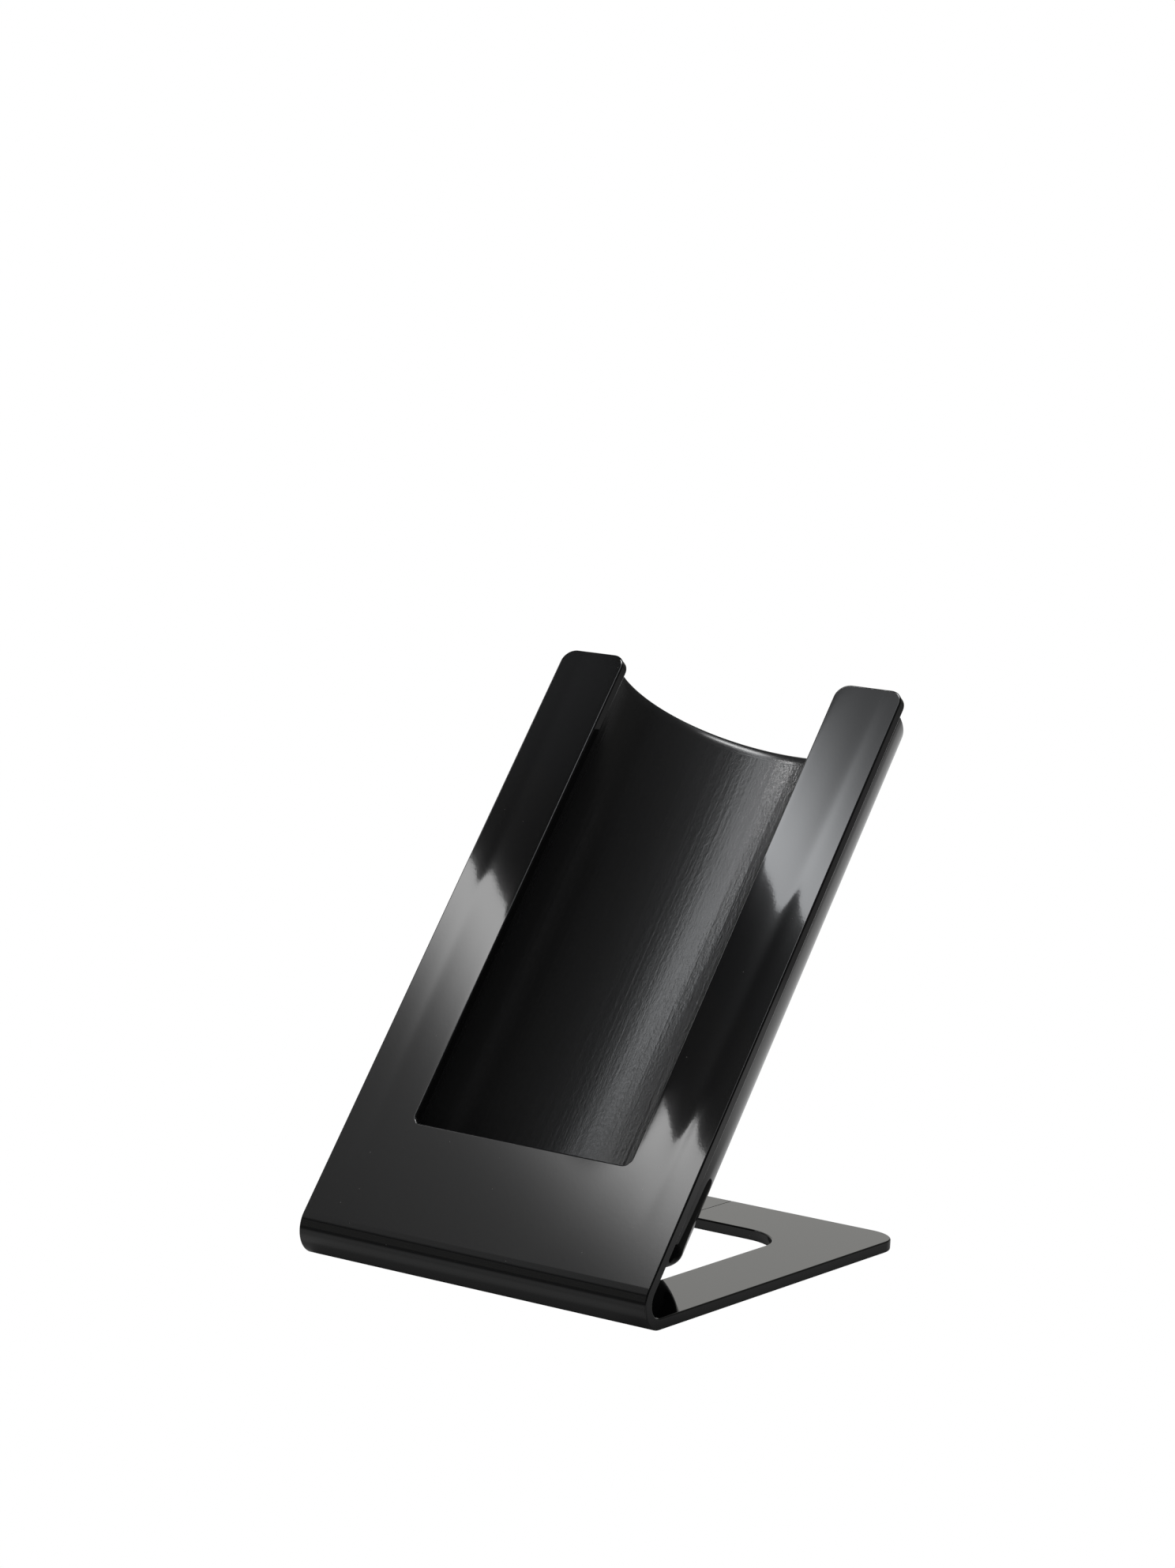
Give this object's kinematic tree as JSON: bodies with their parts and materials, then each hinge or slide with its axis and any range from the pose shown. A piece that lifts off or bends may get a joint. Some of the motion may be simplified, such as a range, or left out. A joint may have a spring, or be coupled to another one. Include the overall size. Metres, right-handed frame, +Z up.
{
  "type": "magazine rack",
  "caption": "Free-standing magazine rack: a folded black sheet with a notched leaning panel and a flat base, and a half-round trough bonded behind the panel.",
  "frame": {"origin": "middle of the footprint on the surface it stands on", "axes": "+Z up, +X to the right seen from the front, front towards -Y"},
  "size_m": [0.28, 0.3895, 0.4002],
  "materials": {
    "body_plastic": "high gloss black, faint lengthwise ripple",
    "trough_plastic": "gloss black outside, fine pebble grain inside",
    "bond": "black acrylic bond layer",
    "foot_rubber": "matt black non-slip pad"
  },
  "bodies": {
    "root": {"folded_body": "body_plastic", "magazine_trough": "trough_plastic", "bond_strip_left": "bond", "bond_strip_right": "bond", "foot_front_left": "foot_rubber", "foot_front_right": "foot_rubber", "foot_rear_left": "foot_rubber", "foot_rear_right": "foot_rubber"}
  },
  "joints": []
}
